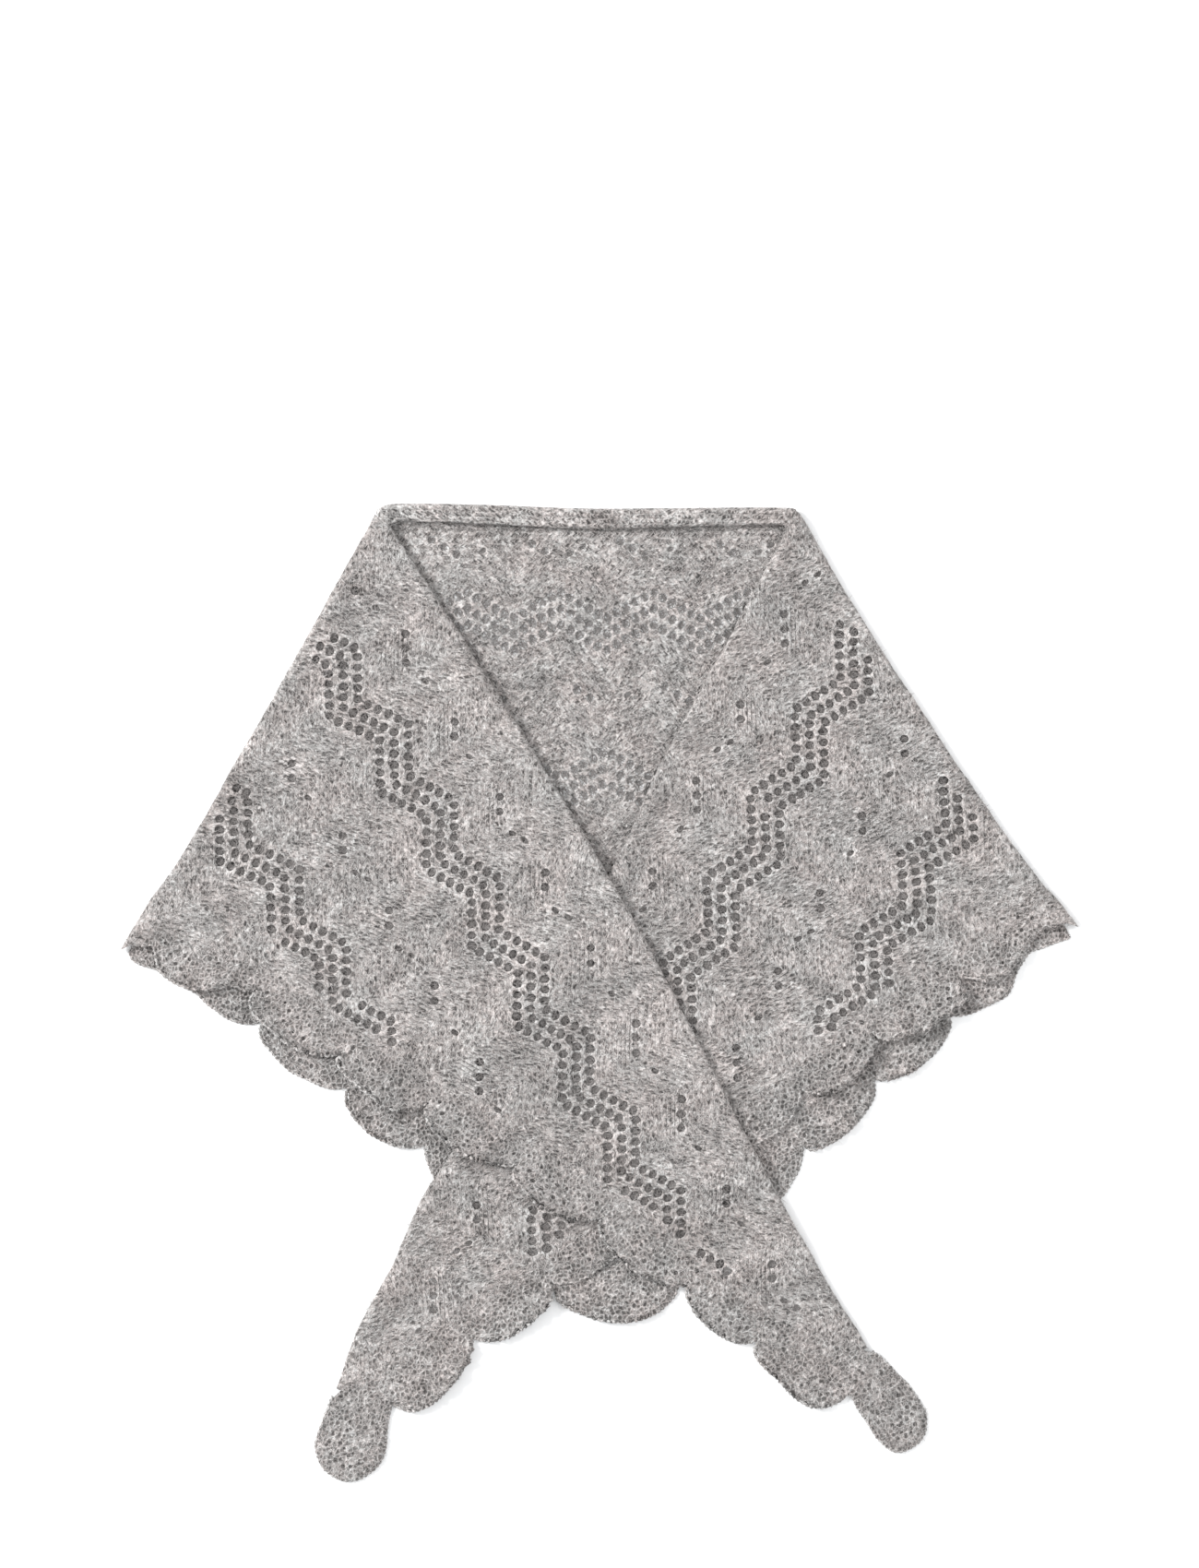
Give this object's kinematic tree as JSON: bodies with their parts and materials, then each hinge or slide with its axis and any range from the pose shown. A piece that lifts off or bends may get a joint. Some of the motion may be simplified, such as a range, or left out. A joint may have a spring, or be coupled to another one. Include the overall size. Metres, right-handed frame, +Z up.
{
  "type": "triangle shawl",
  "caption": "Lace-knit triangle shawl with scalloped borders, its two wings folded forward and crossed, lying flat on a surface.",
  "frame": {"origin": "middle of the laid shawl's outline, on the surface that it lies on", "axes": "+X along the neck edge towards the under wing's fold, +Y towards the neck edge, +Z up from the surface towards the viewer"},
  "size_m": [0.6378, 0.651, 0.0128],
  "materials": {
    "knit": "soft brushed lace knit in a warm light grey melange",
    "border": "garter and eyelet border in the same brushed melange yarn"
  },
  "bodies": {
    "root": {"back_panel": "knit", "back_border": "border", "under_wing": "knit", "under_border": "border", "over_wing": "knit", "over_border": "border"}
  },
  "joints": []
}
